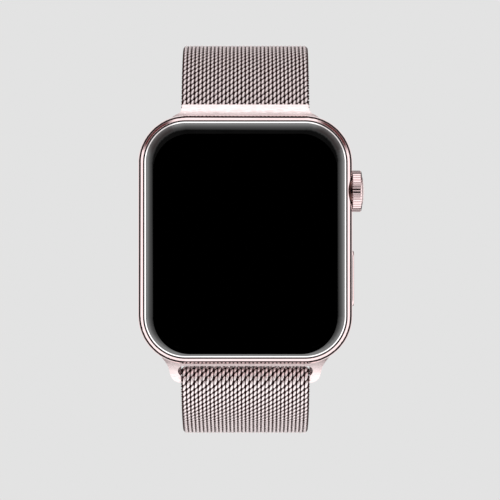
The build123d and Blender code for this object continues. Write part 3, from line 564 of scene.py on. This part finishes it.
def black_glass():
    """Cover glass: a painted highlight, a bright mirror stripe near its edge, a near-black border and the
    switched-off display in the middle.
    """
    recipe = Recipe("black_glass", (0, 0, 0), 0.0, 0.02, IOR=1.77)
    traces = recipe.noise(0.18, 3.0, (1, 0.6, 1))
    recipe.roughness(recipe.spread(traces, 0.015, 0.04))
    inset = recipe.inset(CASE_HALF, CASE_CORNER, 0.0)
    start, end = EDGE_HIGHLIGHT
    # painted highlight: a near-white mirror stripe in from the glass's edge
    highlight_band = recipe.math("MULTIPLY", recipe.spread(inset, 0.0, 1.0, start - 0.02, start + 0.02),
                       recipe.spread(inset, 1.0, 0.0, end - 0.02, end + 0.02))
    lit = recipe.spread(recipe.inset(DISPLAY_HALF, DISPLAY_CORNER, DISPLAY_Y), 0.0, 1.0, 0.0, 0.06)
    speckle = recipe.spread(traces, 0.005, 0.007)
    border = recipe.mix(lit, recipe.grey(speckle), (0, 0, 0))
    recipe.colour(highlight_band, border, (0.95, 0.93, 0.93))
    # where the display reaches under the rounded edge, nothing shines in front of it
    bent = recipe.math("MULTIPLY", lit, recipe.spread(inset, 1.0, 0.0, *GLASS_BEND))
    mirror = recipe.math("MULTIPLY", recipe.math("SUBTRACT", 1.0, bent), 0.9)
    recipe.fill(recipe.shader, {"Metallic": highlight_band, "Specular IOR Level": mirror})
    return recipe.material


def matt_rubber():
    recipe = Recipe("matt_rubber", (0.006, 0.005, 0.005), 0.0, 0.7)
    grain = recipe.noise(12.0, 4.0)
    recipe.colour(recipe.spread(grain, 0.0, 1.0), (0.004, 0.003, 0.003), (0.009, 0.007, 0.007))
    recipe.roughness(recipe.spread(grain, 0.6, 0.85))
    recipe.bump(grain, 0.01)
    return recipe.material


def brushed_metal(name, colour, per_mm, roughness=0.3):
    """Metal with fine straight tool marks along X."""
    recipe = Recipe(name, colour, 1.0, roughness)
    marks = recipe.noise(per_mm, 3.0, (0.02, 1, 1))
    recipe.colour(recipe.spread(marks, 0.0, 1.0), shade(colour, 0.85), colour)
    recipe.roughness(recipe.spread(marks, roughness * 0.8, roughness * 1.3))
    recipe.bump(marks, 0.004, 0.5)
    return recipe.material


def gloss_ceramic():
    recipe = Recipe("gloss_ceramic", (0.05, 0.05, 0.053), 0.0, 0.12, IOR=1.9)
    grain = recipe.noise(20.0, 2.0)
    recipe.colour(recipe.spread(grain, 0.0, 1.0), (0.045, 0.045, 0.048), (0.06, 0.06, 0.064))
    recipe.roughness(recipe.spread(recipe.noise(0.4), 0.08, 0.18))
    return recipe.material


def dark_crystal():
    """Tinted crystal over the heart sensor: you can see a little way into it."""
    recipe = Recipe("dark_crystal", (0.10, 0.09, 0.10), 0.0, 0.02, IOR=1.76)
    recipe.fill(recipe.shader, {"Transmission Weight": 0.6})
    rings = recipe.noise(0.5, 2.0)
    recipe.roughness(recipe.spread(rings, 0.015, 0.04))
    recipe.colour(recipe.spread(rings, 0.0, 1.0), (0.09, 0.08, 0.09), (0.12, 0.11, 0.12))
    return recipe.material


def solder_mask():
    """Green circuit board with copper tracks showing faintly through the mask."""
    recipe = Recipe("solder_mask", (0.01, 0.10, 0.05), 0.0, 0.3)
    tracks = recipe.node("ShaderNodeTexBrick", {
        "Vector": recipe.place(), "Scale": 1.2, "Mortar Size": 0.03, "Mortar Smooth": 0.1,
        "Color1": (0, 0, 0, 1), "Color2": (0.3, 0.3, 0.3, 1), "Mortar": (1, 1, 1, 1)}).outputs["Color"]
    value = recipe.node("ShaderNodeRGBToBW", {"Color": tracks}).outputs[0]
    recipe.colour(value, (0.006, 0.07, 0.035), (0.05, 0.20, 0.08))
    recipe.bump(value, 0.02)
    return recipe.material


def enamelled_copper():
    """Wound copper wire: fine rings round the coil's axis."""
    recipe = Recipe("enamelled_copper", (0.72, 0.35, 0.20), 1.0, 0.3)
    rings = recipe.node("ShaderNodeTexWave", {"Vector": recipe.place(), "Scale": 1.2, "Distortion": 0.0},
                        wave_type="RINGS", rings_direction="Z").outputs["Fac"]
    recipe.colour(rings, (0.30, 0.11, 0.05), (0.80, 0.42, 0.24))
    recipe.bump(rings, 0.05)
    return recipe.material


def speckled(name, dark, light, per_mm, roughness, metallic=0.0, depth=0.004):
    """A fine-grained surface: resin, sintered metal, plating or film."""
    recipe = Recipe(name, dark, metallic, roughness)
    grain = recipe.noise(per_mm, 4.0)
    recipe.colour(recipe.spread(grain, 0.0, 1.0), dark, light)
    recipe.roughness(recipe.spread(recipe.noise(per_mm / 6), roughness * 0.8, roughness * 1.2))
    recipe.bump(grain, depth)
    return recipe.material


def dress_cad_parts():
    """Gives every CAD part its finish and smooth shading."""
    case = case_metal()
    lug = polished_metal("polished_lug", LUG_LIT_ROSE, 0.32)
    crown = crown_metal()
    clasp = polished_metal("polished_clasp", ROSE, 0.09)
    steel = brushed_metal("bare_steel", (0.60, 0.60, 0.61), per_mm=8.0)
    rubber = matt_rubber()
    resin = speckled("chip_resin", (0.02, 0.02, 0.022), (0.05, 0.05, 0.055), per_mm=15.0, roughness=0.55)
    board = solder_mask()
    finishes = {
        case: ["case_body", "side_button"],
        lug: ["lug_upper", "lug_lower"],
        crown: ["crown_knob", "crown_cap"],
        clasp: ["clasp_housing", "clasp_cover"],
        black_glass(): ["front_glass"],
        speckled("display_layer", (0.002, 0.002, 0.003), (0.006, 0.006, 0.008),
                 per_mm=18.0, roughness=0.25): ["display_panel"],
        rubber: ["front_gasket", "rear_gasket", "crown_seal", "side_button_seal"],
        steel: ["frame_screws", "shield_can", "haptic_housing", "microphone", "crown_shaft", "crown_clip",
                "crown_thrust_plate", "side_button_bracket", "release_button_upper",
                "release_button_lower", "latch_pin_upper", "latch_pin_lower", "latch_spring_upper",
                "latch_spring_lower"],
        # the bush is coloured dark bronze as painted shade down in the crown's recess
        speckled("recess_shade_bronze", (0.09, 0.035, 0.03), (0.20, 0.085, 0.075),
                 per_mm=10.0, roughness=0.35, metallic=1.0): ["crown_bush"],
        gloss_ceramic(): ["rear_cover"],
        dark_crystal(): ["sensor_window"],
        board: ["sensor_board", "logic_board"],
        speckled("diode_resin", (0.30, 0.42, 0.18), (0.55, 0.62, 0.30),
                 per_mm=6.0, roughness=0.15): ["sensor_diodes"],
        enamelled_copper(): ["charging_coil"],
        speckled("nickel_plate", (0.55, 0.54, 0.52), (0.70, 0.69, 0.67),
                 per_mm=10.0, roughness=0.18, metallic=1.0): ["alignment_magnet", "clasp_magnets"],
        speckled("battery_film", (0.03, 0.03, 0.032), (0.07, 0.07, 0.075),
                 per_mm=0.8, roughness=0.35, depth=0.02): ["battery"],
        brushed_metal("milled_aluminium", (0.75, 0.76, 0.77), per_mm=5.0, roughness=0.28): ["mid_frame"],
        resin: ["processor", "speaker_module", "crown_switch", "crown_encoder",
                "side_button_switch"],
        speckled("sintered_tungsten", (0.22, 0.22, 0.23), (0.38, 0.38, 0.39),
                 per_mm=14.0, roughness=0.45, metallic=1.0): ["haptic_mass"],
    }
    for material, names in finishes.items():
        for name in names:
            mesh = NODES[name].data
            mesh.materials.clear()
            mesh.materials.append(material)
            smooth_normals(NODES[name], math.radians(32))


# ---------------------------------------------------------------- stage
FLOOR_LIGHT = 0.768
FLOOR_HALF = 1.5
FLOOR_GAP = 0.3 * MM            # from the clasp down to the floor


def build_floor():
    """A plain pale floor. It glows evenly, so that the watch leaves no hard shadow on it."""
    height = CLASP_LOW.z - FLOOR_GAP
    signs = [(-1, -1), (1, -1), (1, 1), (-1, 1)]
    corners = np.array([(x * FLOOR_HALF, y * FLOOR_HALF, height) for x, y in signs])
    floor = mesh_object("floor", corners, np.array([[0, 1, 2, 3]]))
    material = bpy.data.materials.new("pale_floor")
    material.use_nodes = True
    nodes, links = material.node_tree.nodes, material.node_tree.links
    glow = nodes.new("ShaderNodeEmission")
    glow.inputs["Color"].default_value = (FLOOR_LIGHT, FLOOR_LIGHT, FLOOR_LIGHT, 1)
    links.new(glow.outputs[0], nodes["Material Output"].inputs["Surface"])
    floor.data.materials.append(material)
    floor.visible_glossy = False


# light of the tent round the watch, by the height of its direction: a thin dark strip low down gives the
# polished edges their outline, and it is dark overhead where the camera hangs
LOW_TENT = [(-1.0, 0.93), (-0.79, 0.93), (-0.75, 0.02), (-0.42, 0.02), (-0.37, 1.3), (0.1, 1.4),
            (0.35, 1.5)]
TENT = LOW_TENT + [(0.50, 1.6), (0.64, 1.3), (0.73, 0.9), (0.81, 0.62), (0.875, 0.42), (0.93, 0.3),
                   (0.964, 0.14), (0.98, 0.0), (1.0, 0.0)]
# the same on the side of 6 o'clock, where the tent is evenly grey higher up
TENT_FRONT = LOW_TENT + [(0.44, 1.45), (0.70, 1.4), (0.80, 0.8), (0.9, 0.75), (0.96, 0.5), (0.985, 0.0),
                         (1.0, 0.0)]
# how much darker the tent is in its two far corners, by height
CORNER_SHADE = [(-1.0, 0.0), (-0.41, 0.0), (-0.36, 1.0), (0.0, 1.0), (0.14, 0.6), (0.3, 0.45),
                (0.48, 0.45), (0.58, 0.6), (0.88, 0.6), (0.96, 0.0), (1.0, 0.0)]
CORNER_TINT = (0.08, 0.03, 0.03)
BRIGHTEST = 1.6


class Tent(Nodes):
    """The world being built: all its values depend on the direction looked in."""

    def spread(self, value, start, end, low, high):
        """Maps a value smoothly from start..end to low..high."""
        inputs = {"Value": value, "From Min": start, "From Max": end, "To Min": low, "To Max": high}
        return self.node("ShaderNodeMapRange", inputs, interpolation_type="SMOOTHSTEP").outputs[0]

    def ramp(self, height, stops, brightest):
        """A value by height, as a share of the brightest."""
        share = self.math("MULTIPLY", self.math("ADD", height, 1.0), 0.5)
        made = self.node("ShaderNodeValToRGB", {0: share})
        steps = made.color_ramp.elements
        steps.remove(steps[-1])
        for number, (place, light) in enumerate(stops):
            step = steps[0] if number == 0 else steps.new((place + 1) / 2)
            step.position = (place + 1) / 2
            step.color = (*[light / brightest] * 3, 1)
        return made.outputs[0]


def build_world():
    """A studio tent of soft light."""
    world = bpy.data.worlds.new("studio")
    world.use_nodes = True
    bpy.context.scene.world = world
    tree = world.node_tree
    tent = Tent(tree)
    direction = tent.node("ShaderNodeTexCoord", {}).outputs["Generated"]
    x, y, z = tent.node("ShaderNodeSeparateXYZ", {0: direction}).outputs
    flat = tent.math("SQRT", tent.math("SUBTRACT", 1.0, tent.math("MULTIPLY", z, z)))
    level = tent.math("MAXIMUM", flat, 0.001)
    north = tent.math("DIVIDE", y, level)
    east = tent.math("ABSOLUTE", tent.math("DIVIDE", x, level))
    front = tent.spread(north, -0.9, -0.5, 1.0, 0.0)
    light = tent.mix(front, tent.ramp(z, TENT, BRIGHTEST), tent.ramp(z, TENT_FRONT, BRIGHTEST))
    diagonal = tent.math("MULTIPLY", tent.math("MULTIPLY", north, east), 2.0)
    corner = tent.spread(diagonal, 0.45, 0.85, 0.0, 1.0)
    shaded = tent.math("MULTIPLY", corner, tent.ramp(z, CORNER_SHADE, 1.0))
    colour = tent.mix(shaded, light, CORNER_TINT)
    tent.fill(tree.nodes["Background"], {"Color": colour, "Strength": BRIGHTEST})


CAMERA_PLACE = (0.83 * MM, -1.85 * MM, 480 * MM)
VIEW_HALF_WIDTH = 44 * MM


def build_camera():
    """Looks straight down at the display from a little below the middle."""
    camera = bpy.data.objects.new("camera", bpy.data.cameras.new("camera"))
    bpy.context.scene.collection.objects.link(camera)
    camera.location = CAMERA_PLACE
    camera.data.angle = 2 * math.atan(VIEW_HALF_WIDTH / CAMERA_PLACE[2])
    camera.data.clip_end = 10
    bpy.context.scene.camera = camera


# ---------------------------------------------------------------- put it together
dress_cad_parts()
build_strap(woven_wire())
build_crown_cap(notched_cap())
build_floor()
build_world()
build_camera()
bpy.context.scene.view_settings.view_transform = "Standard"
